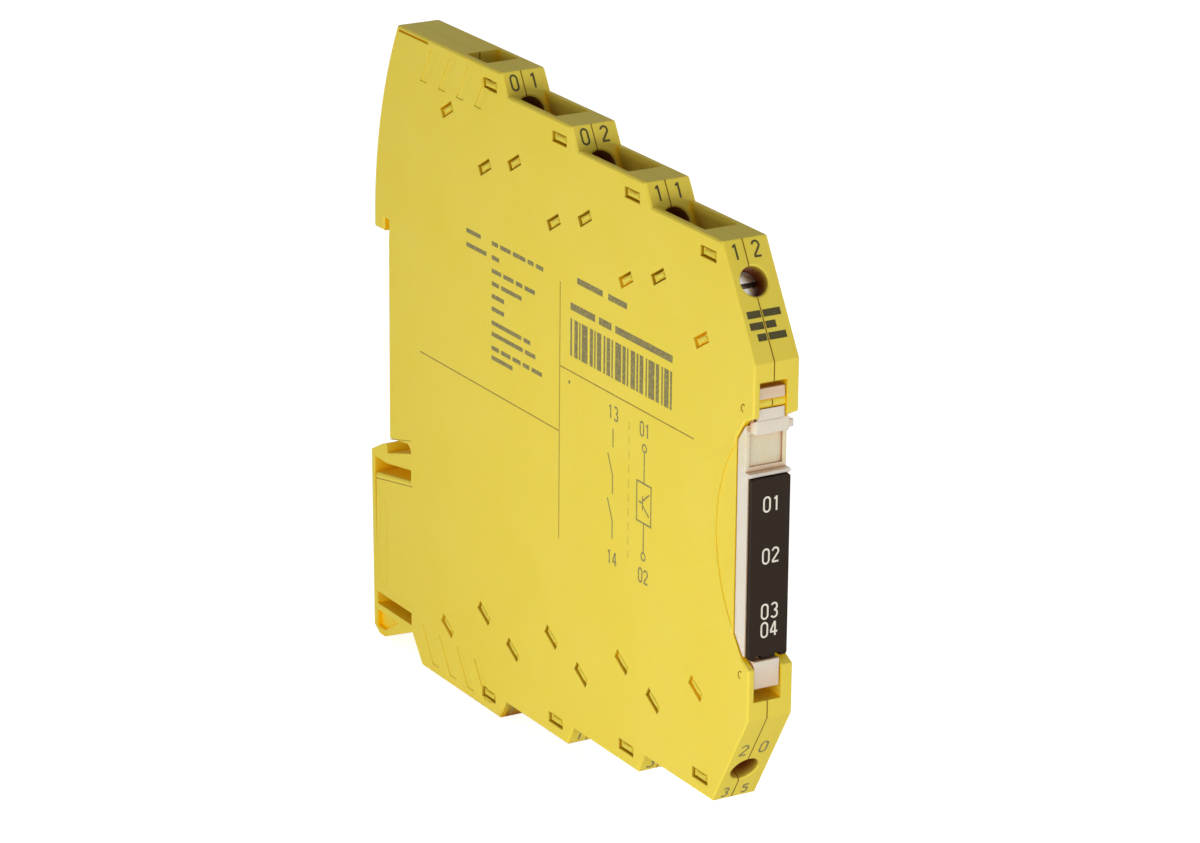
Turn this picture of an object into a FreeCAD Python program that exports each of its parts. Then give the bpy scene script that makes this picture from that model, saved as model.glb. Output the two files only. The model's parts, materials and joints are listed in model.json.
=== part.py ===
"""A slim safety relay for a 35 mm top-hat rail: two moulded half shells, eight rising-clamp
screw terminals, a spring foot latch, a hinged front cover with its label plate, and the
circuit board with two relays.

Millimetres. X runs across the width, -Y faces the operator, +Y the rail, +Z is up. The origin
is the middle of the face that seats on the rail.
"""
import FreeCAD, Part
import math
import os

import Sketcher

SIZES = {
    # housing
    "case_width": 6.8,          # over both side faces
    "left_depth": 3.0,          # side face to the seam, on the -X half shell
    "half_height": 46.55,       # rail centre line to the top and to the bottom face
    "front_reach": 96.6,        # rail seat to the front face
    "side_skin": 0.9,           # side wall outside ducts and clamps
    "board_skin": 1.0,          # side wall beside the circuit board
    "front_wall": 1.2,          # wall behind the front cover
    "edge_round": 0.25,         # bevel of the outline on both side faces
    # terminal steps, top and bottom alike
    "first_step": 32.25,        # rail seat to the edge of the rearmost step
    "step_pitch": 18.72,
    "step_drop": 2.866,
    "face_angle": 59.6,         # slope of the marking faces, degrees from horizontal
    "block_length": 5.45,       # flat top of a step, duct to marking face
    "duct_length": 5.65,        # wire duct along Y
    "trench_reach": 9.4,        # how far a marking face runs down between the side walls
    # rail hooks
    "rail_height": 35.0,
    "rail_play": 0.1,
    "flange_slot": 1.3,         # slot behind a hook for the rail's edge
    "hook_depth": 4.1,          # rail seat to the back of the upper hook
    "hook_tip": 1.9,            # overlap of the upper hook on the rail's edge
    "back_radius": 64.0,        # curve of the back, from the upper hook to the top
    "top_setback": 3.0,         # rail seat forward to the back end of the top face
    "seat_foot": 15.0,          # rail centre line down to the lower end of the seat
    "seat_relief": 0.1,         # the seat is set back behind the upper hook's tip
    "seat_stop": 0.2,           # upper end of the seat below the hook's tip
    # screws and clamps, measured along a screw's axis from its marking face
    "hole_offset": 5.61,        # step edge to the screw hole, along the marking face
    "hole_side": 0.2,           # hole centre toward -X
    "bore_radius": 2.0,
    "bore_mouth": 0.2,          # countersink of the bore
    "overcut": 0.2,             # how far a cutting outline stands outside the solid
    "head_depth": 2.7,
    "head_height": 1.9,
    "head_play": 0.1,
    "head_seat_play": 0.05,
    "thread_radius": 1.5,
    "thread_play": 0.05,
    "neck_play": 0.15,
    "slot_width": 0.7,
    "slot_depth": 0.9,
    "screw_tip": 10.7,
    "clamp_plate": 1.6,         # threaded plate of the clamp cage
    "clamp_base": 0.8,
    "clamp_wall": 0.6,
    "clamp_width": 4.4,
    "clamp_length": 4.2,        # along the wire
    "clamp_travel": 2.3,
    "clamp_play": 0.1,
    "clamp_fold": 0.4,          # bevel of the cage's four folds
    "wire_gap": 2.8,            # clear height for the wire, clamp open
    "thread_pitch": 0.5,
    "bar_thickness": 0.7,
    "bar_gap": 0.1,             # screw tip to contact bar
    "bar_width": 3.0,
    "bar_clearance": 0.3,       # clamp to the bar's downward run
    "bar_bend": 0.5,            # thickness of the bar's run below the clamp
    "bar_tail_at": 14.2,        # where the bar turns down to the board
    "bar_tail_end": 8.2,        # how far below the screw's axis the bar ends
    # snap windows of the left shell, with the right shell's hooks in them
    "edge_window_back": 3.0,
    "edge_window_below": 2.4,
    "edge_window_length": 3.8,
    "rear_window_back": 15.0,
    "rear_window_below": 8.67,
    "inner_window_back": 4.4,
    "inner_window_below": 14.18,
    "slant_window_length": 3.5,
    "window_height": 1.5,
    "window_gap": 0.3,
    "hook_recess": 0.3,         # hook end below the side face
    # circuit chamber
    "chamber_back": 1.5,
    "chamber_latch_wall": 11.8, # rail seat to the chamber's back wall beside the latch
    "chamber_foot": 11.5,       # floor of the rear bay, below the rail centre line
    "chamber_top": 2.05,        # housing top to the roof of the rear bay
    "chamber_bay": 13.5,        # rail seat to the front of the rear bays
    "chamber_slope_back": 32.0, # height of the chamber's sloping roof at the rear bay
    "chamber_front": 88.4,
    "chamber_nose": 13.4,       # half height of the chamber behind the front wall
    "chamber_shoulder": 16.0,
    "board_thickness": 1.0,
    "board_lift": 0.1,          # board to the left skin
    "board_play": 0.3,
    "relay_length": 28.0,
    "relay_height": 15.0,
    "relay_thickness": 3.6,
    "relay_front": 80.0,        # rail seat to the front of the relays
    "relay_gap": 2.0,
    "relay_round": 0.25,
    "power_lamp": 5.0,          # heights of the four lamps
    "input_lamp": -2.0,
    "first_relay_lamp": -9.2,
    "second_relay_lamp": -11.4,
    "lamp_radius": 0.75,
    "lamp_length": 2.6,
    "lamp_play": 0.15,
    # front bay with the cover
    "bay_depth": 4.1,           # front face back to the housing behind the cover
    "bay_half": 13.25,
    "bay_knee_depth": 2.15,
    "bay_knee": 15.9,
    "bay_mouth": 17.0,
    "notch_top": 21.5,
    "notch_left": 2.5,
    "notch_right": 1.6,
    "notch_depth": 5.2,
    "notch_inner": 14.6,
    "pin_radius": 0.72,
    "pin_depth": 1.0,           # front face to the pin's axis
    "pin_height": 18.55,
    "pin_play": 0.08,
    "clip_radius": 2.2,
    "clip_play": 0.15,
    "clip_depth": 1.0,          # plate seat back to the clip arm's rear face
    "cover_width": 6.1,
    "cover_gap": 0.15,
    "cover_wall": 0.7,
    "cover_front": 2.2,         # front face back to the cover's window
    "cover_header": 0.7,        # front face back to the cover's header
    "header_drop": 0.7,         # bay mouth to the header's upper edge
    "header_foot": 14.4,
    "header_width": 4.9,
    "window_foot": 9.1,
    "window_frame": 0.6,
    "window_recess": 0.3,
    "lip_height": 0.5,
    "lug_reach": 0.5,
    "plate_top": 8.5,
    "plate_foot": 15.95,
    "plate_width": 5.7,
    "plate_thickness": 0.8,
    "plate_depth": 0.75,        # front face back to the plate's face
    "plate_corner": 0.4,
    "tongue_foot": 19.8,
    "tongue_thickness": 1.2,
    "tongue_depth": 0.3,
    "thumb_radius": 20.6,       # shallow thumb recess beside the cover
    "thumb_reach": 4.3,
    "thumb_depth": 0.2,
    # foot latch and the housing panel inside its frame
    "latch_width": 6.2,
    "latch_back": 5.9,
    "latch_strip": 0.95,
    "latch_taper": 0.57,        # how much farther forward the strip stands at its foot
    "latch_gap": 0.75,          # strip to panel
    "latch_root": 6.3,
    "latch_play": 0.1,
    "latch_travel": 1.5,
    "latch_hook_rise": 1.25,    # hook above the rail's lower edge
    "latch_crest": 2.6,         # rail seat back to the end of the hook's crest
    "latch_crest_fall": 0.375,
    "latch_shoulder": 0.75,     # arm's end at the strip below its end at the rail
    "latch_arm_rise": 2.1,      # slope of the arm's top over its length
    "latch_arm_depth": 2.5,
    "latch_arm_back": 3.7,      # root's upper end down to the frame's upper back corner
    "heel_gap": 0.6,            # latch root up to the housing
    "heel_ramp": 0.8,
    "latch_foot": 46.2,
    "arm_foot": 41.7,           # top of the lower arm
    "arm_thickness": 0.75,
    "finger_front": 2.1,        # rail seat back to the front of the finger
    "finger_back": 2.1,         # back of the latch forward to the back of the finger
    "finger_lip": 0.25,
    "finger_wall": 0.95,
    "finger_recess": 0.75,
    "panel_foot": 39.8,
    "panel_top_front": 19.6,
    "panel_top_back": 21.4,
    "guide_length": 4.0,        # latch guide between the shells
    "guide_width": 1.6,
    "heel_setback": 9.65,       # rail seat forward to the heel of the bottom face
    "heel_rise": 4.3,
    # shallow marks in the side faces
    "groove_length": 8.6,
    "groove_width": 0.35,
    "groove_depth": 0.4,
    "groove_inset": 0.4,        # groove to the top face and to its back end
    "louvre_pitch": 5.1,
    "louvre_first": 9.6,
    "louvre_width": 1.9,
    "louvre_lean": 3.2,
    "louvre_height": 5.0,
    "louvre_start": 40.2,
    "louvre_depth": 0.15,
}
LEVELS = 4
HALVES = {"top": 1, "bottom": -1}
LAMPS = ("power_lamp", "input_lamp", "first_relay_lamp", "second_relay_lamp")

doc = FreeCAD.newDocument("SafetyRelay")
sheet = doc.addObject("Spreadsheet::Sheet", "Sizes")
for row, (alias, value) in enumerate(SIZES.items(), 1):
    sheet.set(f"A{row}", alias)
    sheet.set(f"B{row}", str(value))
    sheet.setAlias(f"B{row}", alias)
doc.recompute()


class Term:
    """A number that carries its formula on the size sheet beside its value."""

    def __init__(self, text, value):
        self.text = text
        self.value = value

    def _join(self, other, sign, value):
        return Term(f"({self.text} {sign} {term(other).text})", value)

    def __add__(self, other):
        return self._join(other, "+", self.value + term(other).value)

    def __sub__(self, other):
        return self._join(other, "-", self.value - term(other).value)

    def __mul__(self, other):
        return self._join(other, "*", self.value * term(other).value)

    def __truediv__(self, other):
        return self._join(other, "/", self.value / term(other).value)

    def __radd__(self, other):
        return term(other) + self

    def __rsub__(self, other):
        return term(other) - self

    def __rmul__(self, other):
        return term(other) * self

    def __neg__(self):
        return Term(f"(0 - {self.text})", -self.value)


def term(number):
    return number if isinstance(number, Term) else Term(f"({number})", number)


def sine(angle):
    return Term(f"sin({angle.text})", math.sin(math.radians(angle.value)))


def cosine(angle):
    return Term(f"cos({angle.text})", math.cos(math.radians(angle.value)))


class Named:
    """Looks a size up by its name."""

    def __getattr__(self, alias):
        return Term(f"Sizes.{alias}", SIZES[alias])


S = Named()
ZERO = term(0)
HALF_WIDTH = S.case_width / 2
SEAM = S.left_depth - HALF_WIDTH
FACE_COS = cosine(S.face_angle)
FACE_SIN = sine(S.face_angle)


# ---- places that several pieces share ------------------------------------------------

def step_edge(level):
    """Front end of a step's flat top, on the upper half."""
    return -(S.first_step + S.step_pitch * level), S.half_height - S.step_drop * level


def on_face(level, depth, down):
    """A point below a marking face: depth along the screw's axis, down along the face."""
    edge_y, edge_z = step_edge(level)
    along = S.hole_offset + down
    return (edge_y + FACE_SIN * depth - FACE_COS * along,
            edge_z - FACE_COS * depth - FACE_SIN * along)


def roof(y):
    """Height of the chamber's sloping roof over a place along the depth."""
    return S.chamber_slope_back - S.step_drop / S.step_pitch * (-y - S.chamber_bay)


CLAMP_TOP = S.screw_tip - S.clamp_plate
BAR_TOP = S.screw_tip + S.bar_gap
BAR_FOOT = BAR_TOP + S.bar_thickness
BASE_TOP = BAR_FOOT + S.wire_gap
CLAMP_FOOT = BASE_TOP + S.clamp_base
HEAD_SEAT = S.head_depth + S.head_height
RISER = S.clamp_length / 2 + S.bar_clearance
BOARD_LEFT = S.board_skin + S.board_lift - HALF_WIDTH
BOARD_FACE = BOARD_LEFT + S.board_thickness
PIN = (S.pin_depth - S.front_reach, S.pin_height)
RAIL_EDGE = S.rail_height / 2 + S.rail_play
ROOT = -S.latch_root
PANEL_BACK = S.latch_back - S.latch_strip - S.latch_gap
ARM_TOP = S.latch_arm_rise - RAIL_EDGE
GUIDE_FOOT = -(S.arm_foot + S.arm_thickness)


# ---- drawing helpers -----------------------------------------------------------------

def bind(thing, path, value):
    thing.setExpression(path, value.text)


def origin_feature(body, role):
    return next(f for f in body.Origin.OriginFeatures if f.Role == role)


def new_body(label):
    body = doc.addObject("PartDesign::Body", label)
    body.Label = label
    return body


def new_sketch(body, name, plane="YZ_Plane", offset=ZERO):
    sketch = body.newObject("Sketcher::SketchObject", name)
    sketch.AttachmentSupport = (origin_feature(body, plane), "")
    sketch.MapMode = "FlatFace"
    sketch.AttachmentOffset = FreeCAD.Placement(FreeCAD.Vector(0, 0, offset.value), FreeCAD.Rotation())
    if offset is not ZERO:
        bind(sketch, ".AttachmentOffset.Base.z", offset)
    return sketch


def pin_point(sketch, curve, end, point):
    for kind, value in zip(("DistanceX", "DistanceY"), point):
        value = term(value)
        index = sketch.addConstraint(Sketcher.Constraint(kind, -1, 1, curve, end, value.value))
        bind(sketch, f"Constraints[{index}]", value)


def vector(point):
    return FreeCAD.Vector(term(point[0]).value, term(point[1]).value, 0)


def outline(sketch, points, arcs=()):
    """A closed outline through bound points; arcs gives {index: radius} of bulging sides."""
    arcs = dict(arcs)
    spots = [vector(p) for p in points]
    ends = []
    for k, start in enumerate(spots):
        stop = spots[(k + 1) % len(spots)]
        if k not in arcs:
            curve = sketch.addGeometry(Part.LineSegment(start, stop), False)
            ends.append((curve, 1, 2))
            continue
        radius = arcs[k].value
        chord = stop - start
        side = FreeCAD.Vector(chord.y, -chord.x, 0).normalize()
        rise = math.sqrt(radius ** 2 - chord.Length ** 2 / 4)
        middle = (start + stop) / 2 - side * rise
        crown = middle + side * radius
        arc = Part.Arc(start, crown, stop)
        curve = sketch.addGeometry(arc, False)
        runs_on = sketch.getPoint(curve, 1).distanceToPoint(start) < 1e-6
        ends.append((curve, 1, 2) if runs_on else (curve, 2, 1))
        index = sketch.addConstraint(Sketcher.Constraint("Radius", curve, radius))
        bind(sketch, f"Constraints[{index}]", arcs[k])
    for k, (curve, first, last) in enumerate(ends):
        after = ends[(k + 1) % len(ends)]
        sketch.addConstraint(Sketcher.Constraint("Coincident", curve, last, after[0], after[1]))
        pin_point(sketch, curve, first, points[k])


def box_outline(sketch, low, high):
    outline(sketch, [low, (high[0], low[1]), high, (low[0], high[1])])


def ring(sketch, centre, radius):
    curve = sketch.addGeometry(Part.Circle(vector(centre), FreeCAD.Vector(0, 0, 1), radius.value), False)
    index = sketch.addConstraint(Sketcher.Constraint("Radius", curve, radius.value))
    bind(sketch, f"Constraints[{index}]", radius)
    pin_point(sketch, curve, 3, centre)


def axis_line(sketch, start, stop):
    curve = sketch.addGeometry(Part.LineSegment(vector(start), vector(stop)), True)
    pin_point(sketch, curve, 1, start)
    pin_point(sketch, curve, 2, stop)


def extrude(body, kind, sketch, length, reverse=False, midplane=False):
    feature = body.newObject(f"PartDesign::{kind}", sketch.Name + kind)
    feature.Profile = sketch
    feature.Length = length.value
    bind(feature, "Length", length)
    feature.Reversed = reverse
    if midplane:
        feature.SideType = "Symmetric"
    doc.recompute()
    return feature


def pad(body, sketch, length, reverse=False, midplane=False):
    return extrude(body, "Pad", sketch, length, reverse, midplane)


def pocket(body, sketch, length, reverse=False, midplane=False):
    """Cuts away from the sketch's normal; the volume shows that it cut something."""
    before = body.Tip.Shape.Volume
    feature = extrude(body, "Pocket", sketch, length, reverse, midplane)
    if not feature.Shape.Volume < before:
        raise RuntimeError(f"{body.Label}: {sketch.Name} cuts nothing")
    return feature


def groove(body, sketch):
    before = body.Tip.Shape.Volume
    feature = body.newObject("PartDesign::Groove", sketch.Name + "Groove")
    feature.Profile = sketch
    feature.ReferenceAxis = (sketch, ["Axis0"])
    feature.Angle = 360
    doc.recompute()
    if not feature.Shape.Volume < before:
        raise RuntimeError(f"{body.Label}: {sketch.Name} cuts nothing")
    return feature


def repeat(body, name, features, course, levels):
    """Copies features down the steps, and mirrors them to the lower half."""
    many = body.newObject("PartDesign::MultiTransform", name)
    many.Originals = features
    steps = []
    if levels > 1:
        row = doc.addObject("PartDesign::LinearPattern", name + "Row")
        row.Direction = (course, ["Axis0"])
        row.Occurrences = levels
        span = levels - 1
        row.Length = math.hypot(SIZES["step_pitch"], SIZES["step_drop"]) * span
        row.setExpression("Length", f"sqrt(Sizes.step_pitch^2 + Sizes.step_drop^2) * {span}")
        steps.append(row)
    mirror = doc.addObject("PartDesign::Mirrored", name + "Mirror")
    mirror.MirrorPlane = (origin_feature(body, "XY_Plane"), [""])
    steps.append(mirror)
    many.Transformations = steps
    body.Tip = many
    doc.recompute()
    return many


def edges_where(shape, test):
    return [f"Edge{k}" for k, edge in enumerate(shape.Edges, 1) if test(edge)]


def dress(body, kind, edges, size):
    """A fillet or chamfer on edges of the body's last feature."""
    base = body.Tip
    feature = body.newObject(f"PartDesign::{kind}", f"{base.Name}{kind}")
    feature.Base = (base, edges)
    path = "Radius" if kind == "Fillet" else "Size"
    setattr(feature, path, size.value)
    bind(feature, path, size)
    body.Tip = feature
    doc.recompute()
    return feature


# ---- housing -------------------------------------------------------------------------

def case_outline():
    """The side view of the housing, from the top's back corner forward and round."""
    half = S.half_height
    front = -S.front_reach
    slope = FACE_COS / FACE_SIN
    upper = [(-S.top_setback, half)]
    for level in range(LEVELS):
        edge_y, edge_z = step_edge(level)
        upper.append((edge_y, edge_z))
        if level < LEVELS - 1:
            upper.append((edge_y - S.step_drop * slope, edge_z - S.step_drop))
    edge_y, edge_z = step_edge(LEVELS - 1)
    nose = [
        (front, edge_z - (S.front_reach + edge_y) / slope),
        (front, S.bay_mouth),
        (S.bay_knee_depth - S.front_reach, S.bay_knee),
        (S.bay_depth - S.front_reach, S.bay_half),
    ]
    lower = [(y, -z) for y, z in reversed(upper[1:] + nose)]
    foot = [
        (-S.heel_setback, -half),
        (ROOT, S.heel_rise - half),
        (ROOT, -S.panel_foot),
        (PANEL_BACK, -S.panel_foot),
        (PANEL_BACK, -S.panel_top_back),
        (ROOT, -S.panel_top_front),
        (ROOT, ARM_TOP + S.heel_gap),
        (ROOT + S.heel_ramp, ARM_TOP + S.latch_hook_rise),
    ]
    seat_top = RAIL_EDGE - S.hook_tip - S.seat_stop
    back = [
        (0, -S.seat_foot),
        (0, seat_top),
        (-S.seat_relief, seat_top),
        (-S.seat_relief, RAIL_EDGE),
        (S.flange_slot, RAIL_EDGE),
        (S.flange_slot, RAIL_EDGE - S.hook_tip),
        (S.hook_depth, RAIL_EDGE - S.hook_tip),
    ]
    return upper + nose + lower + foot + back


def cut_chamber(body, seam, depth, reverse):
    """The hollow for the board, relays and lamps, under the sloping terminal zones."""
    corner = S.chamber_front
    wall = S.front_reach - S.bay_depth - S.front_wall
    low_back = -S.chamber_latch_wall
    bay_roof = S.half_height - S.chamber_top
    below = roof(-corner)
    sketch = new_sketch(body, "Chamber", offset=seam)
    outline(sketch, [
        (-S.chamber_bay, bay_roof),
        (-S.chamber_bay, roof(-S.chamber_bay)),
        (-corner, below),
        (-corner, S.chamber_shoulder),
        (-wall, S.chamber_nose),
        (-wall, -S.chamber_nose),
        (-corner, -S.chamber_shoulder),
        (-corner, -below),
        (low_back, -roof(low_back)),
        (low_back, -S.chamber_foot),
        (-S.chamber_back, -S.chamber_foot),
        (-S.chamber_back, S.chamber_slope_back),
        (-S.chamber_back - S.top_setback, bay_roof),
    ])
    return pocket(body, sketch, depth, reverse)


def cut_terminals(body, seam, course, side, reverse):
    """Per terminal: clamp chamber, slot for the contact bar, and the screw's stepped bore."""
    margin = S.clamp_play
    travel_top = CLAMP_TOP - S.clamp_travel - margin
    chamber_foot = CLAMP_FOOT + margin
    reach = S.clamp_length / 2 + margin
    riser_end = RISER + S.bar_bend + margin
    wide = S.clamp_width / 2 + margin - (S.hole_side + SEAM) * side

    sketch = new_sketch(body, "ClampRoom", offset=seam)
    outline(sketch, [on_face(0, travel_top, -reach), on_face(0, chamber_foot, -reach),
                     on_face(0, chamber_foot, riser_end), on_face(0, travel_top, riser_end)])
    room = pocket(body, sketch, wide, reverse)

    slot_half = S.bar_width / 2 + margin - (S.hole_side + SEAM) * side
    sketch = new_sketch(body, "BarSlot", offset=seam)
    outline(sketch, [on_face(0, S.bar_tail_at - margin, S.clamp_length / 2),
                     on_face(0, S.bar_tail_at - margin, S.bar_tail_end + margin),
                     on_face(0, S.bar_tail_at + S.bar_bend + margin, S.bar_tail_end + margin),
                     on_face(0, S.bar_tail_at + S.bar_bend + margin, S.clamp_length / 2)])
    slot = pocket(body, sketch, slot_half, reverse)

    bore = S.bore_radius
    neck = S.thread_radius + S.neck_play
    seat = HEAD_SEAT + S.head_seat_play
    inside = travel_top + margin
    mouth = bore + S.bore_mouth
    profile = [(-S.overcut, 0), (-S.overcut, mouth), (0, mouth), (S.bore_mouth, bore),
               (seat, bore), (seat, neck), (inside, neck), (inside, 0)]
    sketch = new_sketch(body, "ScrewBore", offset=-S.hole_side)
    outline(sketch, [on_face(0, depth, -term(radius)) for depth, radius in profile])
    axis_line(sketch, on_face(0, ZERO, ZERO), on_face(0, inside, ZERO))
    hole = groove(body, sketch)
    return repeat(body, "Terminals", [room, slot, hole], course, LEVELS)


def cut_wire_ducts(body, seam, course, depth, reverse):
    """Ducts drop from each step to its clamp; between steps a trench lets the wire in."""
    edge_y, edge_z = step_edge(0)
    front = edge_y + S.block_length
    rear = front + S.duct_length
    mouth_y, mouth_z = on_face(0, BAR_FOOT, -S.clamp_length / 2)
    slope = FACE_COS / FACE_SIN
    rear_foot = mouth_z - (rear - mouth_y) * slope
    front_foot = mouth_z - (front - mouth_y) * slope
    sketch = new_sketch(body, "RearDuct", offset=seam)
    outline(sketch, [(front, front_foot), (rear, rear_foot),
                     (rear, edge_z + S.overcut), (front, edge_z + S.overcut)])
    first = pocket(body, sketch, depth, reverse)
    repeat(body, "RearDucts", [first], course, 1)

    above_y, above_z = edge_y, edge_z
    floor_y = above_y - FACE_COS * S.trench_reach
    floor_z = above_z - FACE_SIN * S.trench_reach
    front = front - S.step_pitch
    rear = rear - S.step_pitch
    rim_y = above_y - S.step_drop * slope
    rim_z = above_z - S.step_drop
    sketch = new_sketch(body, "Trench", offset=seam)
    outline(sketch, [(rim_y, above_z), (rim_y, rim_z), (floor_y, floor_z), (rear, floor_z),
                     (rear, rear_foot - S.step_drop), (front, front_foot - S.step_drop), (front, above_z)])
    trench = pocket(body, sketch, depth, reverse)
    return repeat(body, "Trenches", [trench], course, LEVELS - 1)


def slanted_box(sketch, centre, length, height):
    """A rectangle whose long sides run along the screws' axes."""
    y, z = centre
    corners = [(-1, -1), (1, -1), (1, 1), (-1, 1)]
    outline(sketch, [(y + (FACE_SIN * length * a - FACE_COS * height * b) / 2,
                      z - (FACE_COS * length * a + FACE_SIN * height * b) / 2) for a, b in corners])


def snap_sketches(body, gap, seam):
    """The three snap places of a step, each a sketch at the seam, shrunk by a gap all round."""
    edge_y, edge_z = step_edge(0)
    height = S.window_height - gap * 2
    y = edge_y + S.edge_window_back
    z = edge_z - S.edge_window_below
    reach = S.edge_window_length / 2 - gap
    level = new_sketch(body, "EdgeSnap", offset=seam)
    box_outline(level, (y - reach, z - height / 2), (y + reach, z + height / 2))
    sketches = [level]
    for name, back, below in (("RearSnap", S.rear_window_back, S.rear_window_below),
                              ("InnerSnap", S.inner_window_back, S.inner_window_below)):
        sketch = new_sketch(body, name, offset=seam)
        slanted_box(sketch, (edge_y + back, edge_z - below), S.slant_window_length - gap * 2, height)
        sketches.append(sketch)
    return sketches


def cut_front(body, seam, side, reverse):
    """Notches for the cover's clip and tongue, half of the hinge pin, and the lamp holes."""
    back = S.notch_depth - S.front_reach
    reach = S.notch_left + SEAM if side < 0 else S.notch_right - SEAM
    sketch = new_sketch(body, "Notch", offset=seam)
    box_outline(sketch, (-S.front_reach - S.overcut, S.notch_inner), (back, S.notch_top))
    notch = pocket(body, sketch, reach, reverse)
    repeat(body, "Notches", [notch], None, 1)
    sketch = new_sketch(body, "HingePin", offset=seam)
    ring(sketch, PIN, S.pin_radius)
    pad(body, sketch, reach, reverse=side < 0)
    sketch = new_sketch(body, "LampHoles", "XZ_Plane", S.front_reach - S.bay_depth)
    for name in LAMPS:
        ring(sketch, (BOARD_FACE + S.lamp_radius, getattr(S, name)), S.lamp_radius + S.lamp_play)
    pocket(body, sketch, S.front_wall)


def cut_latch_guide(body, seam, reverse):
    margin = S.latch_play
    wide = S.guide_width / 2 + margin + (SEAM if reverse is False else -SEAM)
    sketch = new_sketch(body, "LatchGuide", offset=seam)
    box_outline(sketch, (ROOT - S.guide_length - margin, GUIDE_FOOT - S.latch_travel - margin),
                (ROOT + margin * 2, ARM_TOP + margin))
    pocket(body, sketch, wide, reverse)


def cut_side_marks(body, course, side):
    """Shallow features of a side face: top groove, louvres and thumb recess."""
    face = HALF_WIDTH * side
    inward = side < 0
    sketch = new_sketch(body, "TopGroove", offset=face)
    top = S.half_height - S.groove_inset
    start = -S.top_setback - S.groove_inset
    box_outline(sketch, (start - S.groove_length, top - S.groove_width), (start, top))
    pocket(body, sketch, S.groove_depth, inward)
    sketch = new_sketch(body, "Louvre", offset=face)
    foot = S.louvre_start
    for number in range(4):
        near = -(S.louvre_first + S.louvre_pitch * number)
        far = near - S.louvre_width
        outline(sketch, [(near, foot), (near - S.louvre_lean, foot + S.louvre_height),
                         (far - S.louvre_lean, foot + S.louvre_height), (far, foot)])
    louvres = pocket(body, sketch, S.louvre_depth, inward)
    repeat(body, "Louvres", [louvres], course, 1)
    sketch = new_sketch(body, "ThumbRecess", offset=face)
    centre = S.bay_depth + S.thumb_reach - S.front_reach - S.thumb_radius
    ring(sketch, (centre, ZERO), S.thumb_radius)
    pocket(body, sketch, S.thumb_depth, inward)


def make_shell(side):
    body = new_body("left_shell" if side < 0 else "right_shell")
    seam = SEAM
    depth = S.left_depth if side < 0 else S.case_width - S.left_depth
    outward = side > 0
    base = new_sketch(body, "Outline", offset=seam)
    points = case_outline()
    outline(base, points, {len(points) - 1: S.back_radius})
    pad(body, base, depth, reverse=not outward)
    face_x = (HALF_WIDTH * side).value
    rim = edges_where(body.Shape, lambda e: abs(e.BoundBox.XMin - face_x) < 1e-6
                      and abs(e.BoundBox.XMax - face_x) < 1e-6)
    dress(body, "Chamfer", rim, S.edge_round)

    course = new_sketch(body, "Course")
    axis_line(course, (ZERO, ZERO), (-S.step_pitch, -S.step_drop))
    cut_chamber(body, seam, depth - S.board_skin, outward)
    cut_terminals(body, seam, course, side, outward)
    cut_wire_ducts(body, seam, course, depth - S.side_skin, outward)
    if side < 0:
        windows = [pocket(body, s, depth) for s in snap_sketches(body, ZERO, seam)]
        repeat(body, "Windows", windows, course, LEVELS)
    cut_front(body, seam, side, outward)
    cut_latch_guide(body, seam, outward)
    cut_side_marks(body, course, side)
    if side > 0:
        length = S.left_depth - S.hook_recess
        hooks = [pad(body, s, length, reverse=True) for s in snap_sketches(body, S.window_gap, seam)]
        repeat(body, "Hooks", hooks, course, LEVELS)
    return body


# ---- terminals -----------------------------------------------------------------------

def seat_on_face(thing, level, half):
    """Puts a piece drawn about a screw hole, Z outward, on its marking face."""
    side = HALVES[half]
    y, z = on_face(level, ZERO, ZERO)
    turn = S.face_angle if side > 0 else 180 - S.face_angle
    spot = FreeCAD.Vector(-S.hole_side.value, y.value, z.value * side)
    thing.Placement = FreeCAD.Placement(spot, FreeCAD.Rotation(FreeCAD.Vector(1, 0, 0), turn.value))
    bind(thing, ".Placement.Base.x", -S.hole_side)
    bind(thing, ".Placement.Base.y", y)
    bind(thing, ".Placement.Base.z", z * side)
    thing.setExpression(".Placement.Rotation.Angle", f"({turn.text}) * 1 deg")


def make_screw(label):
    """Cheese-head screw with a slot; the thread is left plain."""
    body = new_body(label)
    head = S.bore_radius - S.head_play
    sketch = new_sketch(body, "Turned", "XZ_Plane")
    outline(sketch, [(0, -S.screw_tip), (S.thread_radius, -S.screw_tip), (S.thread_radius, -HEAD_SEAT),
                     (head, -HEAD_SEAT), (head, -S.head_depth), (0, -S.head_depth)])
    axis_line(sketch, (ZERO, -S.screw_tip), (ZERO, ZERO))
    turned = body.newObject("PartDesign::Revolution", "Shank")
    turned.Profile = sketch
    turned.ReferenceAxis = (sketch, ["Axis0"])
    turned.Angle = 360
    doc.recompute()
    slot = new_sketch(body, "Slot", "XY_Plane", -S.head_depth)
    box_outline(slot, (-head * 2, -S.slot_width / 2), (head * 2, S.slot_width / 2))
    pocket(body, slot, S.slot_depth)
    return body


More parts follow.
